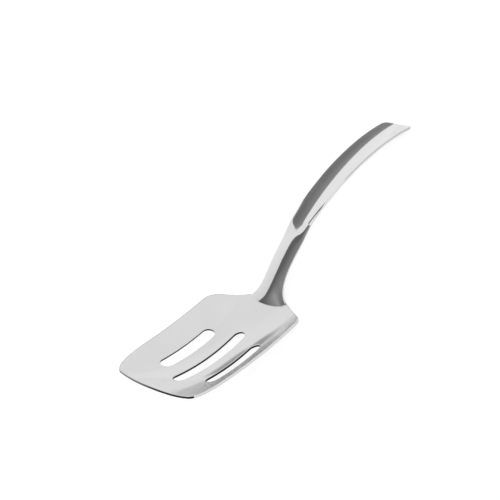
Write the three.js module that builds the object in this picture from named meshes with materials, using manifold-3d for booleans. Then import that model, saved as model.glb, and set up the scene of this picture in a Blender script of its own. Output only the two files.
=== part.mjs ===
// Slotted serving turner in polished stainless steel: a dished sheet blade with three slots, and a pressed
// sheet handle that stands on the blade's neck. A tang of the blade runs up under the stem, and two plug
// welds and two neck welds join them.
// Millimetres. In the working frame X runs from the blade's front edge to the handle, Y is the left side
// and Z is up from the level of the rim's ends. The last group tips the part back until it balances on its
// belly.
import * as THREE from 'three';
import { mergeVertices } from 'three/addons/utils/BufferGeometryUtils.js';
import Module from 'manifold-3d';

const wasm = await Module();
wasm.setup();

// Blade
const BLADE_LENGTH = 96;          // front edge to the crease, on the middle line
const BLADE_WIDTH = 76;
const SHEET = 1.6;
const DISH_MIDDLE = 11.2;         // depth of the trough below the rim, half way along
const DISH_FRONT = 4.6;           // the same at the front edge
const DISH_REAR = 6.3;            // and at the crease
const DISH_POWER = 2.9;           // how flat the trough's floor is across
const RIM_SAG = 3.25;             // how far the rim dips below the line between its ends
const FRONT_BOW = 2.4;
const FRONT_CORNER = 9;           // front corners' rounding along the front edge
const FRONT_TAPER = 30;           // and along the sides
const REAR_CORNER = 9;
const SHOULDER_BACK = 7.7;        // rear corner ahead of the crease
const NECK_WIDTH = 31;
const NECK_BACK = 3.9;            // neck's rear corners behind the crease
const NECK_EDGE_BACK = 2.6;       // sheet's rear edge behind the crease, on the middle line

// Slots
const SLOT_WIDTH = 8.6;
const SLOT_PITCH = 19.6;
const MIDDLE_SLOT_START = 16;
const MIDDLE_SLOT_LENGTH = 57.6;
const SIDE_SLOT_START = 23.8;
const SIDE_SLOT_LENGTH = 43;

// Tang, part of the blade
const TANG_WIDTH = 9;
const TANG_START = 1;
const TANG_END = 34;

// Handle: the middle line of its top surface leaves the blade at the crease
const HANDLE_REACH = 147.4;
const HANDLE_RISE = 50.4;
const START_ANGLE = 59.5;
const END_ANGLE = -8.4;
const START_PULL = 36.9;
const END_PULL = 57.1;
const STEM_WIDTH = 15.2;
const END_WIDTH = 24.4;
const WIDEN_POWER = 1.08;
const FOOT_FLARE = 13.3;          // extra half-width at the crease
const FOOT_REACH = 5.87;          // length over which the flare dies away
const STEM_CROWN = 2;             // middle of the stem above its edges
const PANEL_DIP = 1.3;            // edges of the grip above its middle
const PANEL_START = 40.5;         // along the handle, where the crown turns into the thumb panel
const PANEL_BLEND = 17;
const BORDER_DROP = 0.34;         // how far the grip's borders are turned down
const BORDER_POWER = 8;           // how narrow they are
const SHOULDER_DROP = 1.8;        // the same beside the panel's start
const SHOULDER_RISE = 13.5;
const SHOULDER_FADE = 26;
const END_FLAT = 9;               // straight middle of the end
const END_BOW = 2.6;              // how far the end falls back beside it
const END_CORNER = 2.6;

// Joints
const CLEARANCE = 0.3;            // handle to the blade's neck
const TANG_FIT = 0.3;             // tang to the underside of the stem
const WELD_FIT = 0.05;            // welds to the pieces that they join
const NECK_WELD = 2.4;            // bead's diameter
const NECK_WELD_LENGTH = 7.4;
const NECK_WELD_INSET = 2.5;      // from the neck's corner to the bead's outer end
const PLUG_WELD = 3.8;            // diameter
const PLUG_WELDS = { plug_weld_lower: 14, plug_weld_upper: 26 };   // along the handle
const CUT_REACH = 9;              // cutting bodies run this far past what they cut

const radians = (a) => a * Math.PI / 180;
const mix = (a, b, t) => a + (b - a) * t;
const smooth = (t) => { const c = Math.min(1, Math.max(0, t)); return c * c * (3 - 2 * c); };

// Blade surface

function rimHeight(x) {
  const u = x / BLADE_LENGTH;
  return -4 * RIM_SAG * u * (1 - u);
}

function dishDepth(x) {
  const u = x / BLADE_LENGTH;
  const ends = mix(DISH_FRONT, DISH_REAR, u);
  return ends + (DISH_MIDDLE - (DISH_FRONT + DISH_REAR) / 2) * 4 * u * (1 - u);
}

function bladeHeight(x, y) {
  const t = Math.abs(y) / (BLADE_WIDTH / 2);
  return rimHeight(x) - dishDepth(x) * (1 - t ** DISH_POWER);
}

function bladeNormal(x, y) {
  const d = 0.01;
  const sx = (bladeHeight(x + d, y) - bladeHeight(x - d, y)) / (2 * d);
  const sy = (bladeHeight(x, y + d) - bladeHeight(x, y - d)) / (2 * d);
  return new THREE.Vector3(-sx, -sy, 1).normalize();
}

// A point of the flat blank goes to the dished surface, and its height goes along the normal.
function press(p) {
  const top = new THREE.Vector3(p.x, p.y, bladeHeight(p.x, p.y));
  return top.addScaledVector(bladeNormal(p.x, p.y), p.z);
}

// Mesh helpers

function toManifold(geometry) {
  const bare = new THREE.BufferGeometry();
  bare.setAttribute('position', geometry.getAttribute('position').clone());
  if (geometry.index) bare.setIndex(geometry.index.clone());
  const merged = mergeVertices(bare, 1e-5);
  return new wasm.Manifold(new wasm.Mesh({
    numProp: 3,
    vertProperties: new Float32Array(merged.getAttribute('position').array),
    triVerts: new Uint32Array(merged.index.array),
  }));
}

function toGeometry(solid) {
  const mesh = solid.getMesh();
  const geometry = new THREE.BufferGeometry();
  geometry.setAttribute('position', new THREE.BufferAttribute(new Float32Array(mesh.vertProperties), 3));
  geometry.setIndex(Array.from(mesh.triVerts));
  return geometry;
}

// Joins equal closed rings of points into one solid. The ring is a band, outer side first and inner side
// back again, so its ends close with a strip across the band.
function loft(rings) {
  const n = rings[0].length;
  const positions = rings.flat().flatMap((p) => [p.x, p.y, p.z]);
  const index = [];
  for (let i = 0; i + 1 < rings.length; i++) {
    for (let j = 0; j < n; j++) {
      const a = i * n + j, b = i * n + (j + 1) % n;
      index.push(a, b, b + n, a, b + n, a + n);
    }
  }
  const last = (rings.length - 1) * n;
  for (let j = 0; j < n / 2 - 1; j++) {
    const k = n - 1 - j;
    index.push(j, k, k - 1, j, k - 1, j + 1);
    index.push(last + j, last + k - 1, last + k, last + j, last + j + 1, last + k - 1);
  }
  const geometry = new THREE.BufferGeometry();
  geometry.setAttribute('position', new THREE.Float32BufferAttribute(positions, 3));
  geometry.setIndex(index);
  return geometry;
}

// Blade solid

function bladeOutline(grow) {
  const half = BLADE_WIDTH / 2 + grow;
  const edge = (y) => FRONT_BOW * (y / (BLADE_WIDTH / 2)) ** 2 - grow;
  const yc = half - FRONT_CORNER;
  const slope = 2 * FRONT_BOW * yc / (BLADE_WIDTH / 2) ** 2;
  const corner = BLADE_LENGTH - SHOULDER_BACK + grow / 2;
  const neck = new THREE.Vector2(BLADE_LENGTH + NECK_BACK + grow, NECK_WIDTH / 2 + grow);
  const run = new THREE.Vector2(neck.x - corner, neck.y - half).normalize();
  const after = new THREE.Vector2(corner, half).addScaledVector(run, REAR_CORNER);
  const rear = BLADE_LENGTH + NECK_EDGE_BACK + grow;
  const shape = new THREE.Shape();
  shape.moveTo(edge(yc), -yc);
  shape.quadraticCurveTo(edge(yc) + slope * (half - yc), -half, edge(yc) + FRONT_TAPER, -half);
  shape.lineTo(corner - REAR_CORNER, -half);
  shape.quadraticCurveTo(corner, -half, after.x, -after.y);
  shape.lineTo(neck.x, -neck.y);
  shape.quadraticCurveTo(rear, -neck.y / 2, rear, 0);
  shape.quadraticCurveTo(rear, neck.y / 2, neck.x, neck.y);
  shape.lineTo(after.x, after.y);
  shape.quadraticCurveTo(corner, half, corner - REAR_CORNER, half);
  shape.lineTo(edge(yc) + FRONT_TAPER, half);
  shape.quadraticCurveTo(edge(yc) + slope * (half - yc), half, edge(yc), yc);
  shape.quadraticCurveTo(2 * edge(0) - edge(yc), 0, edge(yc), -yc);
  return shape;
}

function slotOutline(start, length, y) {
  const r = SLOT_WIDTH / 2;
  const shape = new THREE.Shape();
  shape.moveTo(start + r, y - r);
  shape.lineTo(start + length - r, y - r);
  shape.absarc(start + length - r, y, r, -Math.PI / 2, Math.PI / 2);
  shape.lineTo(start + r, y + r);
  shape.absarc(start + r, y, r, Math.PI / 2, 3 * Math.PI / 2);
  return shape;
}

// Straight runs get points often enough to follow the dish.
function densify(shape, segments, step) {
  const points = shape.getPoints(segments);
  const dense = [];
  points.forEach((p, i) => {
    const q = points[(i + 1) % points.length];
    const count = Math.max(1, Math.ceil(p.distanceTo(q) / step));
    if (p.distanceTo(q) < 1e-6) return;
    for (let k = 0; k < count; k++) dense.push(p.clone().lerp(q, k / count));
  });
  return new THREE.Shape(dense);
}

function pressedPrism(shape, low, high) {
  const geometry = new THREE.ExtrudeGeometry(shape, { depth: high - low, bevelEnabled: false });
  const position = geometry.getAttribute('position');
  const p = new THREE.Vector3();
  for (let i = 0; i < position.count; i++) {
    p.fromBufferAttribute(position, i);
    p.z += low;
    const q = press(p);
    position.setXYZ(i, q.x, q.y, q.z);
  }
  return toManifold(geometry);
}

// A slab of the dished surface between two heights, larger than the blade.
function slab(low, high) {
  const x0 = -4, x1 = BLADE_LENGTH + NECK_BACK + 6, half = BLADE_WIDTH / 2 + 3;
  const nx = 34, ny = 26;
  const rings = [];
  for (let i = 0; i <= nx; i++) {
    const x = mix(x0, x1, i / nx);
    const ring = [];
    for (let j = 0; j <= ny; j++) ring.push(press(new THREE.Vector3(x, mix(-half, half, j / ny), high)));
    for (let j = ny; j >= 0; j--) ring.push(press(new THREE.Vector3(x, mix(-half, half, j / ny), low)));
    rings.push(ring.reverse());
  }
  return toManifold(loft(rings));
}

function sheetBody(grow, low, high) {
  return slab(low, high).intersect(pressedPrism(densify(bladeOutline(grow), 10, 4), -22, 12));
}

// Handle line and sections. At a distance s along the top line, a section point has a sideways offset y
// and a height n above the top line.

const lineStart = new THREE.Vector2(BLADE_LENGTH, bladeHeight(BLADE_LENGTH, 0));
const lineEnd = lineStart.clone().add(new THREE.Vector2(HANDLE_REACH, HANDLE_RISE));
const heading = (a) => new THREE.Vector2(Math.cos(radians(a)), Math.sin(radians(a)));
const line = new THREE.CubicBezierCurve(
  lineStart,
  lineStart.clone().addScaledVector(heading(START_ANGLE), START_PULL),
  lineEnd.clone().addScaledVector(heading(END_ANGLE), -END_PULL),
  lineEnd,
);
line.arcLengthDivisions = 400;
const HANDLE_LENGTH = line.getLength();

function onHandle(s, y, n) {
  const u = Math.min(1, Math.max(0, s / HANDLE_LENGTH));
  const at = line.getPointAt(u), along = line.getTangentAt(u);
  at.addScaledVector(along, s - u * HANDLE_LENGTH);
  return new THREE.Vector3(at.x - along.y * n, y, at.y + along.x * n);
}

function halfWidth(s) {
  const u = Math.max(0, s / HANDLE_LENGTH);
  const stem = mix(STEM_WIDTH, END_WIDTH, u ** WIDEN_POWER) / 2;
  return stem + FOOT_FLARE * Math.exp(-Math.max(0, s) / FOOT_REACH);
}

// Height of the top surface across a section: crowned on the stem, dipped on the grip. The grip's borders
// are turned down, most of all at the shoulders where the panel starts.
const bend = (s) => mix(-STEM_CROWN, PANEL_DIP, smooth((s - PANEL_START) / PANEL_BLEND));

function borderDrop(s) {
  const rise = smooth((s - PANEL_START) / SHOULDER_RISE);
  const fade = smooth((s - PANEL_START - SHOULDER_RISE) / SHOULDER_FADE);
  return rise * mix(SHOULDER_DROP, BORDER_DROP, fade);
}

function topHeight(s, y) {
  const t = Math.abs(y) / halfWidth(s);
  return bend(s) * t ** 2 - borderDrop(s) * t ** BORDER_POWER;
}

// A point at a depth under the top surface, square to the section.
function underTop(s, y, depth) {
  const d = 0.01;
  const slope = (topHeight(s, y + d) - topHeight(s, y - d)) / (2 * d);
  const k = depth / Math.hypot(1, slope);
  return onHandle(s, y + slope * k, topHeight(s, y) - k);
}

// How far the end stands short of the line's end: straight in the middle, then bowed, with round corners.
function endShort(t) {
  const half = END_WIDTH / 2, flat = END_FLAT / 2;
  const y = Math.abs(t) * half;
  const bow = Math.max(0, y - flat) / (half - flat);
  const corner = Math.min(1, Math.max(0, y - half + END_CORNER) / END_CORNER);
  return END_BOW * bow ** 2 + END_CORNER * (1 - Math.sqrt(1 - corner ** 2));
}

// The handle between two depths under its top surface. Sections stand closer together at the foot, and the
// last ones lean into the bowed end.
const SECTIONS = 46;
const COLUMNS = 17;
const FOOT_BELOW = 3;             // the foot reaches below the crease and is cut off at the blade
const END_LEAN = 10;

function handleBody(upper, lower) {
  const rings = Array.from({ length: SECTIONS + 1 }, (_, i) => {
    const share = i / SECTIONS;
    const s = mix(-FOOT_BELOW, HANDLE_LENGTH, 0.35 * share ** 2 + 0.65 * share);
    const top = [], bottom = [];
    for (let j = 0; j <= COLUMNS; j++) {
      const t = 2 * Math.sin(Math.PI / 3 * (2 * j / COLUMNS - 1)) / Math.sqrt(3);
      const at = s - endShort(t) * Math.max(0, s / HANDLE_LENGTH) ** END_LEAN;
      top.unshift(underTop(at, t * halfWidth(at), upper));
      bottom.push(underTop(at, t * halfWidth(at), lower));
    }
    return [...top, ...bottom];
  });
  return toManifold(loft(rings));
}

function handle() {
  return toGeometry(handleBody(0, SHEET).subtract(sheetBody(CLEARANCE, -CUT_REACH, CLEARANCE)));
}

// Tang: a strip that follows the underside of the stem

const TANG_COLUMNS = 4;
const TANG_SECTIONS = 14;

function tang() {
  const rings = Array.from({ length: TANG_SECTIONS + 1 }, (_, i) => {
    const s = mix(TANG_START, TANG_END, i / TANG_SECTIONS);
    const top = [], bottom = [];
    for (let j = 0; j <= TANG_COLUMNS; j++) {
      const y = TANG_WIDTH * (j / TANG_COLUMNS - 0.5);
      top.unshift(underTop(s, y, SHEET + TANG_FIT));
      bottom.push(underTop(s, y, 2 * SHEET + TANG_FIT));
    }
    return [...top, ...bottom];
  });
  return toManifold(loft(rings));
}

// Welds

const ROUND = 16;

function plug(s, radius, upper, lower) {
  const ring = (depth) => Array.from({ length: ROUND }, (_, j) => {
    const a = 2 * Math.PI * (j + 0.5) / ROUND;
    const y = radius * Math.sin(a), at = s + radius * Math.cos(a);
    return onHandle(at, y, topHeight(at, y) - depth);
  });
  return loft([ring(lower), ring(upper)]);
}

const plugWeld = (s) => plug(s, PLUG_WELD / 2, SHEET + WELD_FIT, 2 * SHEET + TANG_FIT);

function plugHole(s) {
  return toManifold(plug(s, PLUG_WELD / 2 + WELD_FIT, SHEET - CUT_REACH, 2 * SHEET + CUT_REACH));
}

// The bead fills the corner between the neck's rear edge and the underside of the foot. On a narrow neck it
// ends at the tang's side.
function neckWeld(side) {
  const steps = 8, radius = NECK_WELD / 2;
  const outer = NECK_WIDTH / 2 - NECK_WELD_INSET;
  const inner = Math.max(outer - NECK_WELD_LENGTH, TANG_WIDTH / 2 + WELD_FIT);
  const rings = Array.from({ length: steps + 1 }, (_, i) => {
    const y = side * mix(inner, outer, i / steps);
    const back = mix(NECK_EDGE_BACK, NECK_BACK, (y / (NECK_WIDTH / 2)) ** 2);
    const middle = press(new THREE.Vector3(BLADE_LENGTH + back + radius / 2, y, -SHEET / 2));
    return Array.from({ length: ROUND }, (_, j) => {
      const a = -side * 2 * Math.PI * (j + 0.5) / ROUND;
      return middle.clone().add(new THREE.Vector3(radius * Math.cos(a), 0, radius * Math.sin(a)));
    });
  });
  const bead = toManifold(loft(rings));
  const sheet = sheetBody(WELD_FIT, -SHEET - WELD_FIT, WELD_FIT);
  const foot = handleBody(-CUT_REACH, SHEET + WELD_FIT);
  return toGeometry(bead.subtract(sheet).subtract(foot));
}

// Blade with its slots, tang and plug weld holes

function blade() {
  let solid = sheetBody(0, -SHEET, 0);
  const slots = [
    slotOutline(MIDDLE_SLOT_START, MIDDLE_SLOT_LENGTH, 0),
    slotOutline(SIDE_SLOT_START, SIDE_SLOT_LENGTH, SLOT_PITCH),
    slotOutline(SIDE_SLOT_START, SIDE_SLOT_LENGTH, -SLOT_PITCH),
  ];
  for (const slot of slots) solid = solid.subtract(pressedPrism(densify(slot, 7, 5), -CUT_REACH, CUT_REACH));
  solid = solid.add(tang());
  for (const s of Object.values(PLUG_WELDS)) solid = solid.subtract(plugHole(s));
  return toGeometry(solid);
}

const steel = (color, roughness) => new THREE.MeshStandardMaterial({ color, metalness: 1, roughness });

const pieces = {
  slotted_blade: [blade(), steel(0xd6d8da, 0.1)],
  handle: [handle(), steel(0xd2d4d6, 0.1)],
  neck_weld_left: [neckWeld(1), steel(0xc6c8ca, 0.25)],
  neck_weld_right: [neckWeld(-1), steel(0xc6c8ca, 0.25)],
};
for (const [name, s] of Object.entries(PLUG_WELDS)) pieces[name] = [plugWeld(s), steel(0xc6c8ca, 0.25)];

const assembly = new THREE.Group();
assembly.name = 'assembly';
for (const [name, [geometry, material]] of Object.entries(pieces)) {
  const flat = geometry.index ? geometry.toNonIndexed() : geometry;
  flat.computeVertexNormals();
  const mesh = new THREE.Mesh(flat, material);
  mesh.name = name;
  assembly.add(mesh);
}

// Middle of the steel's volume.
function balancePoint() {
  const sum = new THREE.Vector3();
  const [a, b, c] = [new THREE.Vector3(), new THREE.Vector3(), new THREE.Vector3()];
  let total = 0;
  for (const mesh of assembly.children) {
    const position = mesh.geometry.getAttribute('position');
    for (let i = 0; i < position.count; i += 3) {
      [a, b, c].forEach((v, k) => v.fromBufferAttribute(position, i + k));
      const volume = a.dot(b.clone().cross(c)) / 6;
      sum.addScaledVector(a.add(b).add(c), volume / 4);
      total += volume;
    }
  }
  return sum.divideScalar(total);
}

// The part rocks on its belly until its balance point stands over the point that it rests on, or until the
// lower edge of the handle's end meets the table.
function restPitch() {
  const balance = balancePoint();
  const heel = underTop(HANDLE_LENGTH, 0, SHEET);
  const steps = 800;
  const belly = Array.from({ length: steps + 1 }, (_, i) => (
    press(new THREE.Vector3(BLADE_LENGTH * i / steps, 0, -SHEET))
  ));
  const ahead = (p, pitch) => p.x * Math.cos(pitch) + p.z * Math.sin(pitch);
  const height = (p, pitch) => p.z * Math.cos(pitch) - p.x * Math.sin(pitch);
  let low = 0, high = Math.PI / 4;
  for (let i = 0; i < 50; i++) {
    const pitch = (low + high) / 2;
    const rest = belly.reduce((a, b) => (height(b, pitch) < height(a, pitch) ? b : a));
    const tipsBack = ahead(rest, pitch) < ahead(balance, pitch);
    if (tipsBack && height(heel, pitch) > height(rest, pitch)) low = pitch;
    else high = pitch;
  }
  return low;
}

assembly.rotation.y = restPitch();
assembly.updateMatrixWorld(true);
const box = new THREE.Box3().setFromObject(assembly, true);
const centre = box.getCenter(new THREE.Vector3());
assembly.position.set(-centre.x, -centre.y, -box.min.z);

const part = new THREE.Group();
part.name = 'slotted_turner';
part.add(assembly);

export default part;
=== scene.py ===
import bisect
import math

import bmesh
import bpy
from mathutils import Euler, Matrix, Vector
from mathutils.geometry import interpolate_bezier


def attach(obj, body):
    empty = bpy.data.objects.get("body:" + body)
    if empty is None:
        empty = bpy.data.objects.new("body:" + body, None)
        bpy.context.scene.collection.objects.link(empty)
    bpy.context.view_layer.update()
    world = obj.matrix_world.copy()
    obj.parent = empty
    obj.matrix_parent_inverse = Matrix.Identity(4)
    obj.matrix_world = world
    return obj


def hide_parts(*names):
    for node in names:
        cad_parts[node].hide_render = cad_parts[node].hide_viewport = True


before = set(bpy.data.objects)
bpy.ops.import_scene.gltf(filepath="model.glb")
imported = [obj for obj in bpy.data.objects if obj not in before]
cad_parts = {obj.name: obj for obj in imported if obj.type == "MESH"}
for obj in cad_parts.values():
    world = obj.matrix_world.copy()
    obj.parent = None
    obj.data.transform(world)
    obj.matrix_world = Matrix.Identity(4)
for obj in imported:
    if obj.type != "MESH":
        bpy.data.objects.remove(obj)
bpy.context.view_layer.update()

# Slotted serving turner in polished stainless steel. Sizes are in millimetres in the tool's own frame:
# X from the blade's front edge to the handle, Y to the left, Z up from the level of the rim's ends.
# Finished pieces are tipped onto the belly and are in metres.
BLADE_LENGTH = 96.0
BLADE_WIDTH = 76.0
SHEET = 1.6
DISH_MIDDLE = 11.2
DISH_FRONT = 4.6
DISH_REAR = 6.3
DISH_POWER = 2.9
RIM_SAG = 3.25
FRONT_BOW = 2.4
FRONT_CORNER = 9.0          # front corners' rounding along the front edge
FRONT_TAPER = 30.0          # and along the sides
REAR_CORNER = 9.0
SHOULDER_BACK = 7.7
NECK_WIDTH = 31.0
NECK_BACK = 3.9
NECK_EDGE_BACK = 2.6
BLADE_EDGE = 0.22           # radius of the blade's rubbed-down cut edges
HANDLE_EDGE = 0.75          # and of the handle's, nearly half its sheet
CUT_EDGE_STEPS = 5
PAINTED_SHADE_WALL_ACROSS = 0.75       # outer cut walls that face this much along the tool get the sheared steel, with its near-black painted shade
EDGE_SUPPORT = 0.2          # flat border behind a rounded edge, which keeps the shading of the flat clean
BLADE_MESH = (1.6, 1.6)     # spacing of the pressed sheets' meshes, along and across
HANDLE_MESH = (1.4, 0.6)
HANDLE_BLANK = 20.0         # width of the handle's blank, whose sides are straight before pressing
FRONT_STEPS = 16            # points of the outlines' curves
FRONT_CORNER_STEPS = 24
REAR_CORNER_STEPS = 14
NECK_STEPS = 12
SLOT_STEPS = 10
TANG_CORNER_STEPS = 6
FOOT_STEPS = 40
END_STEPS = 80
PLUG_STEPS = 32
HALVINGS = 40               # of a range in which a value is looked for
TINY = 1e-4                 # points nearer than this are one point

SLOT_WIDTH = 8.6
SLOT_PITCH = 19.6
SLOT_SEARCH = 1.0           # how far past the middle slot's ends a slot's wall is looked for
SLOT_ROUND = 0.999          # share of the slot's half-width that its corners are rounded by
MIDDLE_SLOT = (16.0, 57.6)  # start and length
SIDE_SLOT = (23.8, 43.0)

TANG_WIDTH = 9.0
TANG_REACH = (1.0, 34.0)
TANG_CORNER = 1.5
TANG_FIT = 0.3

HANDLE_REACH = 147.4
HANDLE_RISE = 50.4
START_ANGLE = 59.5
END_ANGLE = -8.4
START_PULL = 36.9
END_PULL = 57.1
LINE_STEPS = 600
STEM_WIDTH = 15.2
END_WIDTH = 24.4
WIDEN_POWER = 1.08
FOOT_FLARE = 13.3
FOOT_REACH = 5.87
STEM_CROWN = 2.0
PANEL_DIP = 1.3
PANEL_START = 40.5
PANEL_BLEND = 17.0
BORDER_DROP = 0.34
BORDER_POWER = 8
SHOULDER_DROP = 1.8
SHOULDER_RISE = 13.5
SHOULDER_FADE = 26.0
END_FLAT = 9.0
END_BOW = 2.6
END_CORNER = 2.6
FOOT_SUNK = 0.4             # the handle's foot reaches this far into the blade
FOOT_SEARCH = (-3.0, 9.0)   # along the handle, where its foot is looked for

NECK_WELD = 2.4
NECK_WELD_REACH = (5.6, 13.0)
NECK_WELD_BLUNT = 8         # power of the bead's round ends
NECK_WELD_RIPPLE = 0.06     # share that the bead swells and shrinks by
NECK_WELD_TURNS = 5         # radians of the ripple for a millimetre along the bead
NECK_WELD_MESH = (24, 40)   # faces around the bead and along it
PLUG_WELD = 3.8
PLUG_PROUD = 0.15
PLUG_EDGE = 0.4
PLUG_EDGE_STEPS = 4
PLUG_LOWER = 14.0
PLUG_UPPER = 26.0

REST_PITCH = 18.8235        # degrees, from the rim's level to balancing on the belly
REST_SHIFT = Vector((-121.0852, -0.0064, 39.0866))

# Camera of the photograph
CAMERA_AT = Vector((-355.269, -614.716, 596.483))
CAMERA_HEADING = 28.607     # degrees from +Y towards +X
CAMERA_TILT = 38.495        # degrees down
CAMERA_ROLL = -33.777
CAMERA_LENS = 108.0
CAMERA_SENSOR = 36.0

# Steels: tone, least roughness, how much is added in patches, and strength of the polishing marks
SHEET_STEEL = ((0.62, 0.62, 0.625), 0.09, 0.06, 0.01)
HANDLE_STEEL = ((0.675, 0.675, 0.68), 0.05, 0.08, 0.1)
# The sheared steel's near-black tone is painted shade, standing in for the dark shadow under the blade that
# the walls reflect; its roughness is the real shear marks.
SHEARED_PAINTED_SHADE_STEEL = ((0.02, 0.02, 0.021), 0.3, 0.2, 0.3)
WELD_STEEL = ((0.6, 0.6, 0.605), 0.12, 0.16, 0.2)
MARKS_SCALE = (60, 2600, 2600)      # per metre, long marks along the tool
MARKS_DEPTH = 0.00001               # metres
CLOUDS_SCALE = 45.0
CLOUDS_SHADE = (0.96, 1.03)
DULL_FROM, DULL_TO = 20, 27         # from the middle line, where the blade's sides get duller
DULL_SIDE = 0.13
PAINTED_GLINT_FROM, PAINTED_GLINT_TO = -4, 32     # to the left of the middle line, where the front edge's painted glint gets brighter
PAINTED_GLINT_BRIGHT = 14.0                # how many times brighter it gets

# Studio, in metres
FLOOR_HALF = 4.0
FLOOR_TONE = 0.5
FLOOR_GLOW = 0.7
WORLD_LIGHT = 1.13
CLOTH_LIGHT = 1.08          # light that white cloth would send back
SCREEN_RADIUS = 12.0
VEIL_RADIUS = 40.0
SCREEN_LOWEST = 0.9999      # share of the radius that a screen may stand out sideways
SCREEN_GRID = (60, 40)

# Screens. Their edges are X and Y of the heading from the tool. A change has the X where it starts and
# ends, and the value before and after it. The two greys of a cloth are those at fade 0 and 1.
STEM_CLOTH = (0.165, 0.52)
STEM_SIDES = (-0.9, 0.13)
STEM_FAR = (-0.1, -0.82, 0.553, 0.994)
STEM_NEAR = (-0.3, -0.15, -0.3, -0.85)
STEM_DARKEST = (-0.12, -0.5, 0.33, 0.71)
STEM_FADE_LENGTH = (-0.33, -0.45, 0.86, 0.32)
STEM_RIGHT = 0.075          # right edge where Y is 0, and how it leans
STEM_LEAN = 0.11
GRIP_CLOTH = (0.37, 0.26)
GRIP_SIDES = (0.16, 0.97)
GRIP_FAR = 0.7849           # far edge where X is 0, and how it slopes
GRIP_FAR_SLOPE = -0.263
GRIP_NEAR = (0.6, 0.7, 0.42, -0.3)
GRIP_FADE_LENGTH = (0.28, 0.78, 0.22, 0.09)
GRIP_FOOT_FADE = (0.28, 0.5, 0.4, 0.0)
GRIP_MOST_FADE = 1.3
GRIP_LEFT = -0.105          # left edge where Y is 0, and how it leans
GRIP_LEAN = 0.5
VEIL_CLOTH = (0.85, 1.0)
VEIL_SIDES = (-0.9, 0.3)
VEIL_FADE = (-0.45, 0.2, 0.0, 1.0)
CARD_CLOTH = (0.5, 0.5)
CARD_HEADINGS = (25.5, 41.1)    # degrees from +Y towards +X
CARD_HEIGHT = 15.5              # degrees
CARD_ROUND = 4                  # power of its rounded upper corners

MM = 0.001


def mix(a, b, t):
    return a + (b - a) * t


def clamp(t):
    return min(1.0, max(0.0, t))


def smooth(t):
    t = clamp(t)
    return t * t * (3 - 2 * t)


def change(x, start, end, before, after, ease=clamp):
    """A value that goes from one to another while x goes from its start to its end."""
    return mix(before, after, ease((x - start) / (end - start)))


# Blade surface

def blade_height(x, y):
    u = x / BLADE_LENGTH
    arch = 4 * u * (1 - u)
    ends = mix(DISH_FRONT, DISH_REAR, u)
    dish = ends + (DISH_MIDDLE - (DISH_FRONT + DISH_REAR) / 2) * arch
    return -RIM_SAG * arch - dish * (1 - abs(2 * y / BLADE_WIDTH) ** DISH_POWER)


def blade_normal(x, y, d=0.01):
    slope_x = (blade_height(x + d, y) - blade_height(x - d, y)) / (2 * d)
    slope_y = (blade_height(x, y + d) - blade_height(x, y - d)) / (2 * d)
    return Vector((-slope_x, -slope_y, 1)).normalized()


def on_blade(p):
    """A point of the flat blank goes to the dished surface, and its height goes along the normal."""
    return Vector((p.x, p.y, blade_height(p.x, p.y))) + blade_normal(p.x, p.y) * p.z


# Handle surface

def handle_line():
    """Points of the handle's top line, and their distances along it."""
    def heading(degrees):
        return Vector((math.cos(math.radians(degrees)), 0, math.sin(math.radians(degrees))))
    start = Vector((BLADE_LENGTH, 0, blade_height(BLADE_LENGTH, 0)))
    end = start + Vector((HANDLE_REACH, 0, HANDLE_RISE))
    pull = start + heading(START_ANGLE) * START_PULL
    points = interpolate_bezier(start, pull, end - heading(END_ANGLE) * END_PULL, end, LINE_STEPS)
    distances = [0.0]
    for a, b in zip(points, points[1:]):
        distances.append(distances[-1] + (b - a).length)
    return points, distances


LINE_POINTS, LINE_DISTANCES = handle_line()
HANDLE_LENGTH = LINE_DISTANCES[-1]


def line_frame(s):
    """The line's point and heading at a distance along it. Past its ends it runs on straight."""
    last = len(LINE_POINTS) - 1
    i = min(max(bisect.bisect(LINE_DISTANCES, s) - 1, 0), last - 1)
    share = (s - LINE_DISTANCES[i]) / (LINE_DISTANCES[i + 1] - LINE_DISTANCES[i])
    at = LINE_POINTS[i].lerp(LINE_POINTS[i + 1], share)
    before = (LINE_POINTS[i + 1] - LINE_POINTS[max(i - 1, 0)]).normalized()
    after = (LINE_POINTS[min(i + 2, last)] - LINE_POINTS[i]).normalized()
    return at, before.lerp(after, clamp(share)).normalized()


def half_width(s):
    u = max(0.0, s / HANDLE_LENGTH)
    stem = mix(STEM_WIDTH, END_WIDTH, u ** WIDEN_POWER) / 2
    return stem + FOOT_FLARE * math.exp(-max(0.0, s) / FOOT_REACH)


def top_height(s, y):
    """Crowned on the stem and dipped on the grip, which has its borders turned down, most at its start."""
    t = y / half_width(s)
    bend = mix(-STEM_CROWN, PANEL_DIP, smooth((s - PANEL_START) / PANEL_BLEND))
    fade = smooth((s - PANEL_START - SHOULDER_RISE) / SHOULDER_FADE)
    border = mix(SHOULDER_DROP, BORDER_DROP, fade) * smooth((s - PANEL_START) / SHOULDER_RISE)
    return bend * t ** 2 - border * t ** BORDER_POWER


def on_handle(p, d=0.01):
    """A point of the flat handle goes to its pressed surface, and its height goes square to the section."""
    slope = (top_height(p.x, p.y + d) - top_height(p.x, p.y - d)) / (2 * d)
    up = p.z / math.hypot(1, slope)
    n = top_height(p.x, p.y) + up
    at, along = line_frame(p.x)
    return Vector((at.x - along.z * n, p.y - slope * up, at.z + along.x * n))


def end_short(t):
    """How far the end stands short of the line's end: straight in the middle, bowed, with round corners."""
    half, flat = END_WIDTH / 2, END_FLAT / 2
    y = abs(t) * half
    bow = max(0.0, y - flat) / (half - flat)
    corner = clamp((y - half + END_CORNER) / END_CORNER)
    return END_BOW * bow ** 2 + END_CORNER * (1 - math.sqrt(1 - corner ** 2))


def solve(below, low, high):
    """The value between two where the test stops being true."""
    for _ in range(HALVINGS):
        middle = (low + high) / 2
        if below(middle):
            low = middle
        else:
            high = middle
    return high


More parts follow.
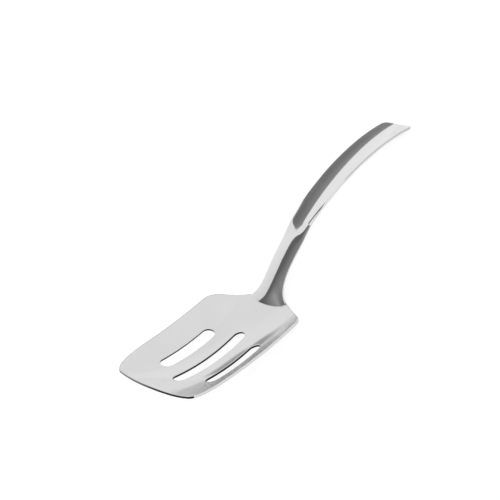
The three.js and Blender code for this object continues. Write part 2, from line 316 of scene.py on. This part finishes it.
def foot_start(y):
    """Where the handle's top surface goes into the blade at this side offset."""
    def sunk(s):
        p = on_handle(Vector((s, y, 0)))
        return p.z < blade_height(p.x, p.y) - FOOT_SUNK
    return solve(sunk, *FOOT_SEARCH)


# Mesh helpers

def finish_piece(name, bm, materials, slot, *nodes):
    bmesh.ops.recalc_face_normals(bm, faces=bm.faces)
    tip = Matrix.Rotation(math.radians(REST_PITCH), 4, "Y")
    place = Matrix.Scale(MM, 4) @ Matrix.Translation(REST_SHIFT) @ tip
    bmesh.ops.transform(bm, matrix=place, verts=bm.verts)
    mesh = bpy.data.meshes.new(name)
    bm.to_mesh(mesh)
    bm.free()
    for polygon in mesh.polygons:
        polygon.use_smooth = True
    for material in materials:
        mesh.materials.append(material)
    piece = bpy.data.objects.new(name, mesh)
    bpy.context.scene.collection.objects.link(piece)
    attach(piece, "root")
    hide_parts(*nodes)
    return piece


def outline_loop(bm, points):
    """A closed outline of the blank. Gives its points."""
    verts = [bm.verts.new((x, y, 0)) for x, y in points]
    bm.faces.new(verts)
    return verts


def round_corner(bm, corner, radius, segments):
    bmesh.ops.bevel(bm, geom=[corner], offset=radius, segments=segments, profile=0.5,
                    affect="VERTICES", material=-1)


def fill_outlines(bm):
    """Fills between the outlines, so that those inside the first one are left open."""
    bmesh.ops.delete(bm, geom=bm.faces[:], context="FACES_ONLY")
    bmesh.ops.triangle_fill(bm, edges=bm.edges[:], use_beauty=True, normal=(0, 0, 1))


def round_cut_edge(bm, radius, wall_kind):
    """Insets the border of the flat sheet and lowers it to a quarter round, then drops the wall. The
    wall's kind says which of the piece's materials it takes."""
    inner = bm.faces[:]
    angles = [math.pi / 2 * i / CUT_EDGE_STEPS for i in range(CUT_EDGE_STEPS + 1)]
    steps = [radius * (math.cos(a) - math.cos(b)) for a, b in zip(angles, angles[1:])]
    for angle, step in zip(angles, steps + [EDGE_SUPPORT]):
        border = bmesh.ops.inset_region(bm, faces=inner, thickness=step, use_boundary=True,
                                        use_even_offset=True)["faces"]
        kept = {v for f in inner for v in f.verts}
        for v in {v for f in border for v in f.verts} - kept:
            if v.is_boundary or angle > 0:
                v.co.z = min(v.co.z, radius * (math.sin(angle) - 1))
    wall = bmesh.ops.extrude_edge_only(bm, edges=[e for e in bm.edges if e.is_boundary])["geom"]
    for item in wall:
        if isinstance(item, bmesh.types.BMVert):
            item.co.z = -SHEET / 2
    for item in wall:
        if isinstance(item, bmesh.types.BMFace):
            item.normal_update()
            item.material_index = wall_kind(item.calc_center_median(), item.normal)
    return inner


def cut_in_squares(bm, inner, spacing):
    """Cuts the sheet into small squares and clears the fill's own edges from them."""
    inside = set(inner)
    for e in bm.edges:
        e.seam = len(e.link_faces) == 2 and all(f in inside for f in e.link_faces)
    for axis in (0, 1):
        start = min(v.co[axis] for v in bm.verts)
        end = max(v.co[axis] for v in bm.verts)
        normal = Vector((1, 0, 0)) if axis == 0 else Vector((0, 1, 0))
        count = int((end - start) / spacing[axis])
        for i in range(count):
            at = normal * (start + (i + 0.5) * (end - start) / count)
            bmesh.ops.bisect_plane(bm, geom=bm.verts[:] + bm.edges[:] + bm.faces[:], dist=TINY,
                                   plane_co=at, plane_no=normal)
    bmesh.ops.dissolve_edges(bm, edges=[e for e in bm.edges if e.seam], use_verts=True)


def press_sheet(bm, form, radius, spacing, wall_kind=lambda at, normal: 0):
    """Makes a flat blank into sheet metal with rubbed-down edges and presses it to its form."""
    inner = round_cut_edge(bm, radius, wall_kind)
    cut_in_squares(bm, inner, spacing)
    bmesh.ops.mirror(bm, geom=bm.verts[:] + bm.edges[:] + bm.faces[:], axis="Z", merge_dist=TINY,
                     matrix=Matrix.Translation((0, 0, SHEET / 2)))
    for v in bm.verts:
        v.co = form(v.co)


# Pieces

def blade_wall(at, normal):
    """Which of the blade's materials a cut wall takes: polished on the sides, sheared steel with a
    near-black painted shade in the slots and at the neck, and the same on the front edge with a painted
    glint that brightens to the left."""
    polished, sheared_painted_shade, painted_shade_and_glint = range(3)
    along = MIDDLE_SLOT[0] - SLOT_SEARCH < at.x < sum(MIDDLE_SLOT) + SLOT_SEARCH
    if along and abs(at.y) < SLOT_PITCH + SLOT_WIDTH:
        return sheared_painted_shade
    if abs(normal.x) <= PAINTED_SHADE_WALL_ACROSS:
        return polished
    return painted_shade_and_glint if at.x < MIDDLE_SLOT[0] else sheared_painted_shade


def corner_curve(before, corner, after, steps):
    """Points of a rounded corner, from a point on the side before it to a point on the side after it."""
    shares = [i / steps for i in range(steps + 1)]
    return [before.lerp(corner, t).lerp(corner.lerp(after, t), t) for t in shares]


def blade_outline():
    """Points of the blank's left side from the front edge to the neck, and of its right side back."""
    half = BLADE_WIDTH / 2
    front_end = half - FRONT_CORNER
    sides = [front_end * i / FRONT_STEPS for i in range(FRONT_STEPS + 1)]
    front = [Vector((FRONT_BOW * (y / half) ** 2, y)) for y in sides]
    tip = front[-1] + Vector((2 * FRONT_BOW * front_end / half ** 2, 1)) * FRONT_CORNER
    shoulder = Vector((BLADE_LENGTH - SHOULDER_BACK, half))
    neck = Vector((BLADE_LENGTH + NECK_BACK, NECK_WIDTH / 2))
    neck_edge = BLADE_LENGTH + NECK_EDGE_BACK
    before_shoulder = shoulder - Vector((REAR_CORNER, 0))
    after_shoulder = shoulder + (neck - shoulder).normalized() * REAR_CORNER
    taper_end = Vector((front[-1].x + FRONT_TAPER, half))
    left = front[:-1] + corner_curve(front[-1], tip, taper_end, FRONT_CORNER_STEPS)
    left += corner_curve(before_shoulder, shoulder, after_shoulder, REAR_CORNER_STEPS)
    left += corner_curve(neck, Vector((neck_edge, neck.y / 2)), Vector((neck_edge, 0)), NECK_STEPS)
    return left + [Vector((p.x, -p.y)) for p in left[-2:0:-1]]


def slotted_blade(materials):
    bm = bmesh.new()
    outline_loop(bm, blade_outline())
    radius = SLOT_WIDTH / 2
    for (start, length), y in ((MIDDLE_SLOT, 0), (SIDE_SLOT, SLOT_PITCH), (SIDE_SLOT, -SLOT_PITCH)):
        box = [(start, y - radius), (start + length, y - radius),
               (start + length, y + radius), (start, y + radius)]
        for corner in outline_loop(bm, box):
            round_corner(bm, corner, radius * SLOT_ROUND, SLOT_STEPS)
    fill_outlines(bm)
    press_sheet(bm, on_blade, BLADE_EDGE, BLADE_MESH, blade_wall)
    return finish_piece("slotted_blade_sheet", bm, materials, "polished_sheet", "slotted_blade")


def under_stem(p):
    return on_handle(Vector((p.x, p.y, p.z - SHEET - TANG_FIT)))


def blade_tang(materials):
    bm = bmesh.new()
    half = TANG_WIDTH / 2
    start, end = TANG_REACH
    corners = [(start, -half), (end, -half), (end, half), (start, half)]
    for corner in outline_loop(bm, corners)[1:3]:
        round_corner(bm, corner, TANG_CORNER, TANG_CORNER_STEPS)
    for s in (PLUG_LOWER, PLUG_UPPER):
        bmesh.ops.create_circle(bm, cap_ends=True, radius=PLUG_WELD / 2, segments=PLUG_STEPS,
                                matrix=Matrix.Translation((s, 0, 0)))
    fill_outlines(bm)
    press_sheet(bm, under_stem, BLADE_EDGE, BLADE_MESH)
    return finish_piece("blade_tang", bm, materials, "polished_sheet", "slotted_blade")


def from_blank(p):
    """A point of the handle's straight-sided blank goes to the pressed handle."""
    return on_handle(Vector((p.x, p.y * half_width(p.x) / (HANDLE_BLANK / 2), p.z)))


def handle(materials):
    bm = bmesh.new()
    foot = solve(lambda y: y < half_width(foot_start(y)), STEM_WIDTH / 2, NECK_WIDTH)
    points = []
    for i in range(FOOT_STEPS + 1):
        y = mix(-foot, foot, i / FOOT_STEPS)
        s = foot_start(y)
        points.append((s, y / half_width(s) * HANDLE_BLANK / 2))
    for i in range(END_STEPS + 1):
        t = math.cos(math.pi * i / END_STEPS)
        points.append((HANDLE_LENGTH - end_short(t), t * HANDLE_BLANK / 2))
    outline_loop(bm, points)
    fill_outlines(bm)
    press_sheet(bm, from_blank, HANDLE_EDGE, HANDLE_MESH)
    return finish_piece("handle_sheet", bm, materials, "polished_handle", "handle")


def neck_weld(side, name, node, materials):
    """A bead along the neck's rear edge, under the handle's foot."""
    bm = bmesh.new()
    around, lengthways = NECK_WELD_MESH
    bmesh.ops.create_uvsphere(bm, u_segments=around, v_segments=lengthways, radius=1)
    inner, outer = NECK_WELD_REACH
    radius = NECK_WELD / 2
    for v in bm.verts:
        along = math.asin(max(-1.0, min(1.0, v.co.z))) / (math.pi / 2)
        y = mix(inner, outer, (along + 1) / 2)
        ring = math.hypot(v.co.x, v.co.y)
        ripple = 1 + NECK_WELD_RIPPLE * math.sin(y * NECK_WELD_TURNS)
        swell = radius * (1 - abs(along) ** NECK_WELD_BLUNT) ** 0.5 * ripple / max(ring, TINY)
        back = mix(NECK_EDGE_BACK, NECK_BACK, (2 * y / NECK_WIDTH) ** 2)
        middle = on_blade(Vector((BLADE_LENGTH + back + radius / 2, y, -SHEET / 2)))
        v.co = Vector((middle.x + v.co.x * swell, side * middle.y, middle.z + v.co.y * swell))
    return finish_piece(name, bm, materials, "ground_weld", node)


def plug_weld(s, name, node, materials):
    """The filled hole in the tang, ground almost flush with its underside."""
    bm = bmesh.new()
    height = SHEET + TANG_FIT + PLUG_PROUD
    bmesh.ops.create_cone(bm, cap_ends=True, radius1=PLUG_WELD / 2, radius2=PLUG_WELD / 2, depth=height,
                          segments=PLUG_STEPS, matrix=Matrix.Translation((s, 0, -height / 2)))
    rim = [e for e in bm.edges if all(v.co.z < -height + TINY for v in e.verts)]
    bmesh.ops.bevel(bm, geom=rim, offset=PLUG_EDGE, segments=PLUG_EDGE_STEPS, profile=0.5,
                    affect="EDGES", material=-1)
    for v in bm.verts:
        v.co = on_handle(Vector((v.co.x, v.co.y, v.co.z - SHEET)))
    return finish_piece(name, bm, materials, "ground_weld", node)


# Materials

def polish_marks_group():
    """Fine marks of the polishing wheel along the tool, and soft cloudy patches of wiped steel."""
    group = bpy.data.node_groups.new("polish_marks", "ShaderNodeTree")
    group.interface.new_socket("Gloss", in_out="INPUT", socket_type="NodeSocketFloat")
    group.interface.new_socket("Spread", in_out="INPUT", socket_type="NodeSocketFloat")
    group.interface.new_socket("Shade", in_out="OUTPUT", socket_type="NodeSocketFloat")
    group.interface.new_socket("Roughness", in_out="OUTPUT", socket_type="NodeSocketFloat")
    group.interface.new_socket("Height", in_out="OUTPUT", socket_type="NodeSocketFloat")
    nodes, links = group.nodes, group.links
    entry, leave = nodes.new("NodeGroupInput"), nodes.new("NodeGroupOutput")
    where = nodes.new("ShaderNodeTexCoord")
    stretch = nodes.new("ShaderNodeMapping")
    stretch.inputs["Scale"].default_value = MARKS_SCALE
    marks = nodes.new("ShaderNodeTexNoise")
    marks.inputs["Scale"].default_value = 1.0
    marks.inputs["Detail"].default_value = 3.0
    clouds = nodes.new("ShaderNodeTexNoise")
    clouds.inputs["Scale"].default_value = CLOUDS_SCALE
    clouds.inputs["Detail"].default_value = 2.0
    both = nodes.new("ShaderNodeMath")
    both.operation = "MULTIPLY"
    rough = nodes.new("ShaderNodeMath")
    rough.operation = "MULTIPLY_ADD"
    shade = nodes.new("ShaderNodeMapRange")
    shade.inputs["To Min"].default_value, shade.inputs["To Max"].default_value = CLOUDS_SHADE
    links.new(where.outputs["Object"], stretch.inputs["Vector"])
    links.new(stretch.outputs["Vector"], marks.inputs["Vector"])
    links.new(where.outputs["Object"], clouds.inputs["Vector"])
    links.new(marks.outputs["Fac"], both.inputs[0])
    links.new(clouds.outputs["Fac"], both.inputs[1])
    links.new(both.outputs["Value"], rough.inputs[0])
    links.new(entry.outputs["Spread"], rough.inputs[1])
    links.new(entry.outputs["Gloss"], rough.inputs[2])
    links.new(clouds.outputs["Fac"], shade.inputs["Value"])
    links.new(shade.outputs["Result"], leave.inputs["Shade"])
    links.new(rough.outputs["Value"], leave.inputs["Roughness"])
    links.new(marks.outputs["Fac"], leave.inputs["Height"])
    return group


def polished_steel(name, tone, gloss, spread, relief):
    material = bpy.data.materials.new(name)
    material.use_nodes = True
    nodes, links = material.node_tree.nodes, material.node_tree.links
    steel = nodes["Principled BSDF"]
    steel.inputs["Metallic"].default_value = 1.0
    marks = nodes.new("ShaderNodeGroup")
    marks.node_tree = POLISH_MARKS
    marks.inputs["Gloss"].default_value = gloss
    marks.inputs["Spread"].default_value = spread
    colour = nodes.new("ShaderNodeVectorMath")
    colour.operation = "SCALE"
    colour.inputs[0].default_value = tone
    bump = nodes.new("ShaderNodeBump")
    bump.inputs["Strength"].default_value = relief
    bump.inputs["Distance"].default_value = MARKS_DEPTH
    links.new(marks.outputs["Shade"], colour.inputs["Scale"])
    links.new(colour.outputs["Vector"], steel.inputs["Base Color"])
    links.new(marks.outputs["Roughness"], steel.inputs["Roughness"])
    links.new(marks.outputs["Height"], bump.inputs["Height"])
    links.new(bump.outputs["Normal"], steel.inputs["Normal"])
    return material


def dull_sides(material):
    """Makes the steel duller near the blade's two sides, where the press has drawn it up."""
    nodes, links = material.node_tree.nodes, material.node_tree.links
    steel = nodes["Principled BSDF"]
    polish = steel.inputs["Roughness"].links[0].from_socket
    where = nodes.new("ShaderNodeTexCoord")
    split = nodes.new("ShaderNodeSeparateXYZ")
    aside = nodes.new("ShaderNodeMath")
    aside.operation = "ABSOLUTE"
    dull = nodes.new("ShaderNodeMapRange")
    dull.inputs["From Min"].default_value = DULL_FROM * MM
    dull.inputs["From Max"].default_value = DULL_TO * MM
    dull.inputs["To Max"].default_value = DULL_SIDE
    both = nodes.new("ShaderNodeMath")
    both.operation = "ADD"
    links.new(where.outputs["Object"], split.inputs["Vector"])
    links.new(split.outputs["Y"], aside.inputs[0])
    links.new(aside.outputs["Value"], dull.inputs["Value"])
    links.new(dull.outputs["Result"], both.inputs[0])
    links.new(polish, both.inputs[1])
    links.new(both.outputs["Value"], steel.inputs["Roughness"])


def paint_left_end_glint(material):
    """Paints a glint onto the front edge: its tone gets brighter towards the blade's left side."""
    nodes, links = material.node_tree.nodes, material.node_tree.links
    base = nodes["Principled BSDF"].inputs["Base Color"]
    tone = base.links[0].from_socket
    where = nodes.new("ShaderNodeTexCoord")
    split = nodes.new("ShaderNodeSeparateXYZ")
    rub = nodes.new("ShaderNodeMapRange")
    rub.inputs["From Min"].default_value = PAINTED_GLINT_FROM * MM
    rub.inputs["From Max"].default_value = PAINTED_GLINT_TO * MM
    rub.inputs["To Min"].default_value = 1.0
    rub.inputs["To Max"].default_value = PAINTED_GLINT_BRIGHT
    bright = nodes.new("ShaderNodeVectorMath")
    bright.operation = "SCALE"
    links.new(where.outputs["Object"], split.inputs["Vector"])
    links.new(split.outputs["Y"], rub.inputs["Value"])
    links.new(tone, bright.inputs[0])
    links.new(rub.outputs["Result"], bright.inputs["Scale"])
    links.new(bright.outputs["Vector"], base)


# Studio

def stage_piece(name, bm, material):
    mesh = bpy.data.meshes.new(name)
    bm.to_mesh(mesh)
    bm.free()
    mesh.materials.append(material)
    piece = bpy.data.objects.new(name, mesh)
    bpy.context.scene.collection.objects.link(piece)
    return piece


def white_floor():
    """White paper lit from below and above, so that only a faint shadow is left on it."""
    bm = bmesh.new()
    bmesh.ops.create_grid(bm, x_segments=1, y_segments=1, size=FLOOR_HALF)
    material = bpy.data.materials.new("floor_paper")
    material.use_nodes = True
    paper = material.node_tree.nodes["Principled BSDF"]
    paper.inputs["Base Color"].default_value = (FLOOR_TONE, FLOOR_TONE, FLOOR_TONE, 1)
    paper.inputs["Roughness"].default_value = 0.9
    paper.inputs["Specular IOR Level"].default_value = 0.0
    paper.inputs["Emission Color"].default_value = (1, 1, 1, 1)
    paper.inputs["Emission Strength"].default_value = FLOOR_GLOW
    stage_piece("floor", bm, material)


def white_world():
    world = bpy.data.worlds.new("studio")
    world.use_nodes = True
    back = world.node_tree.nodes["Background"]
    back.inputs["Color"].default_value = (1, 1, 1, 1)
    back.inputs["Strength"].default_value = WORLD_LIGHT
    bpy.context.scene.world = world


def fading_cloth(name, far_grey, near_grey):
    """Cloth that fades from its far edge on. Its lamps make up for the white room that it hides."""
    material = bpy.data.materials.new(name)
    material.use_nodes = True
    nodes, links = material.node_tree.nodes, material.node_tree.links
    cloth = nodes["Principled BSDF"]
    cloth.inputs["Roughness"].default_value = 1.0
    cloth.inputs["Specular IOR Level"].default_value = 0.0
    cloth.inputs["Emission Color"].default_value = (1, 1, 1, 1)
    place = nodes.new("ShaderNodeAttribute")
    place.attribute_name = "fade"
    greys = (far_grey, near_grey)
    lamps = [WORLD_LIGHT - CLOTH_LIGHT * grey for grey in greys]
    for socket, (far, near) in (("Base Color", greys), ("Emission Strength", lamps)):
        fade = nodes.new("ShaderNodeMapRange")
        fade.clamp = False
        fade.inputs["To Min"].default_value = far
        fade.inputs["To Max"].default_value = near
        links.new(place.outputs["Fac"], fade.inputs["Value"])
        links.new(fade.outputs["Result"], cloth.inputs[socket])
    return material


def hung_screen(name, place, cloth, lit_pieces, distance):
    """A screen hung round the tool, seen only in its reflections. Its lamps light only some pieces, and
    these show it white. The place turns shares across and up into a heading in the room and a fade."""
    bm = bmesh.new()
    columns, rows = SCREEN_GRID
    bmesh.ops.create_grid(bm, x_segments=columns, y_segments=rows, size=0.5)
    fade = bm.verts.layers.float.new("fade")
    for v in bm.verts:
        x, y, v[fade] = place(v.co.x + 0.5, v.co.y + 0.5)
        spread = min(1.0, SCREEN_LOWEST / math.hypot(x, y))
        x, y = x * spread, y * spread
        v.co = distance * Vector((x, y, math.sqrt(1 - x * x - y * y)))
    screen = stage_piece(name, bm, cloth)
    screen.visible_camera = False
    receivers = bpy.data.collections.new(name + "_receivers")
    for piece in lit_pieces:
        receivers.objects.link(piece)
    screen.light_linking.receiver_collection = receivers


def stem_far_edge(x):
    """The far edge of the stem's screen swings back over the tool's foot."""
    return change(x, *STEM_FAR, smooth)


def stem_screen(across, up):
    """The patch that the stem's right half shows. It gets lighter towards the near side."""
    left, right = STEM_SIDES
    x = mix(left, right, across)
    y = mix(change(x, *STEM_NEAR, smooth), stem_far_edge(x), up)
    fade = clamp((change(x, *STEM_DARKEST) - y) / change(x, *STEM_FADE_LENGTH))
    return mix(left, STEM_RIGHT + STEM_LEAN * max(0.0, y), across), y, fade


def grip_screen(across, up):
    """The patch that the grip's left half shows. It gets darker towards the near side and the foot."""
    left, right = GRIP_SIDES
    x = mix(left, right, across)
    far = GRIP_FAR + GRIP_FAR_SLOPE * x
    y = mix(change(x, *GRIP_NEAR, smooth), far, up)
    fade = (far - y) / change(x, *GRIP_FADE_LENGTH) + change(x, *GRIP_FOOT_FADE)
    return mix(GRIP_LEFT + GRIP_LEAN * y, right, across), y, min(GRIP_MOST_FADE, fade)


def far_veil(across, up):
    """Thin cloth behind the stem's screen, down to the table, which the stem's left half shows."""
    x = mix(*VEIL_SIDES, across)
    y = mix(stem_far_edge(x), math.sqrt(1 - x * x), up)
    return x, y, change(x, *VEIL_FADE)


def side_screen(across, up):
    """A low card on the far side with rounded upper corners, which the blade's right wall shows."""
    top = CARD_HEIGHT * (1 - (2 * across - 1) ** CARD_ROUND)
    heading, height = math.radians(mix(*CARD_HEADINGS, across)), math.radians(top * up)
    return math.sin(heading) * math.cos(height), math.cos(heading) * math.cos(height), 0.0


def photo_camera():
    lens = bpy.data.cameras.new("photo_camera")
    lens.lens = CAMERA_LENS
    lens.sensor_width = CAMERA_SENSOR
    camera = bpy.data.objects.new("photo_camera", lens)
    turn = Euler((math.radians(90 - CAMERA_TILT), 0, math.radians(-CAMERA_HEADING))).to_matrix()
    roll = Matrix.Rotation(math.radians(CAMERA_ROLL), 3, "Z")
    camera.matrix_world = Matrix.Translation(CAMERA_AT * MM) @ (turn @ roll).to_4x4()
    bpy.context.scene.collection.objects.link(camera)
    bpy.context.scene.camera = camera


POLISH_MARKS = polish_marks_group()

sheet_steel = polished_steel("polished_sheet_steel", *SHEET_STEEL)
handle_steel = polished_steel("polished_handle_steel", *HANDLE_STEEL)
# Steel for the cut walls in the slots and at the neck: shear marks, with a near-black painted shade.
sheared_painted_shade_steel = polished_steel("sheared_edge_painted_shade_steel", *SHEARED_PAINTED_SHADE_STEEL)
# Steel for the front edge: near-black painted shade, with a painted glint that brightens towards the left.
front_painted_shade_and_glint_steel = polished_steel("front_edge_painted_shade_and_glint_steel", *SHEARED_PAINTED_SHADE_STEEL)
weld_steel = polished_steel("ground_weld_steel", *WELD_STEEL)
dull_sides(sheet_steel)
paint_left_end_glint(front_painted_shade_and_glint_steel)

blade = slotted_blade([sheet_steel, sheared_painted_shade_steel, front_painted_shade_and_glint_steel])
tang = blade_tang([sheet_steel])
grip = handle([handle_steel])
neck_weld(1, "neck_bead_left", "neck_weld_left", [weld_steel])
neck_weld(-1, "neck_bead_right", "neck_weld_right", [weld_steel])
plug_weld(PLUG_LOWER, "plug_lower", "plug_weld_lower", [weld_steel])
plug_weld(PLUG_UPPER, "plug_upper", "plug_weld_upper", [weld_steel])

white_floor()
white_world()
for name, place, greys, lit_pieces, distance in (
        ("stem_screen", stem_screen, STEM_CLOTH, [blade, tang], SCREEN_RADIUS),
        ("grip_screen", grip_screen, GRIP_CLOTH, [blade, tang], SCREEN_RADIUS),
        ("far_veil", far_veil, VEIL_CLOTH, [blade, tang], VEIL_RADIUS),
        ("side_screen", side_screen, CARD_CLOTH, [grip], SCREEN_RADIUS)):
    hung_screen(name, place, fading_cloth(name + "_cloth", *greys), lit_pieces, distance)
photo_camera()
bpy.context.scene.view_settings.view_transform = "Standard"
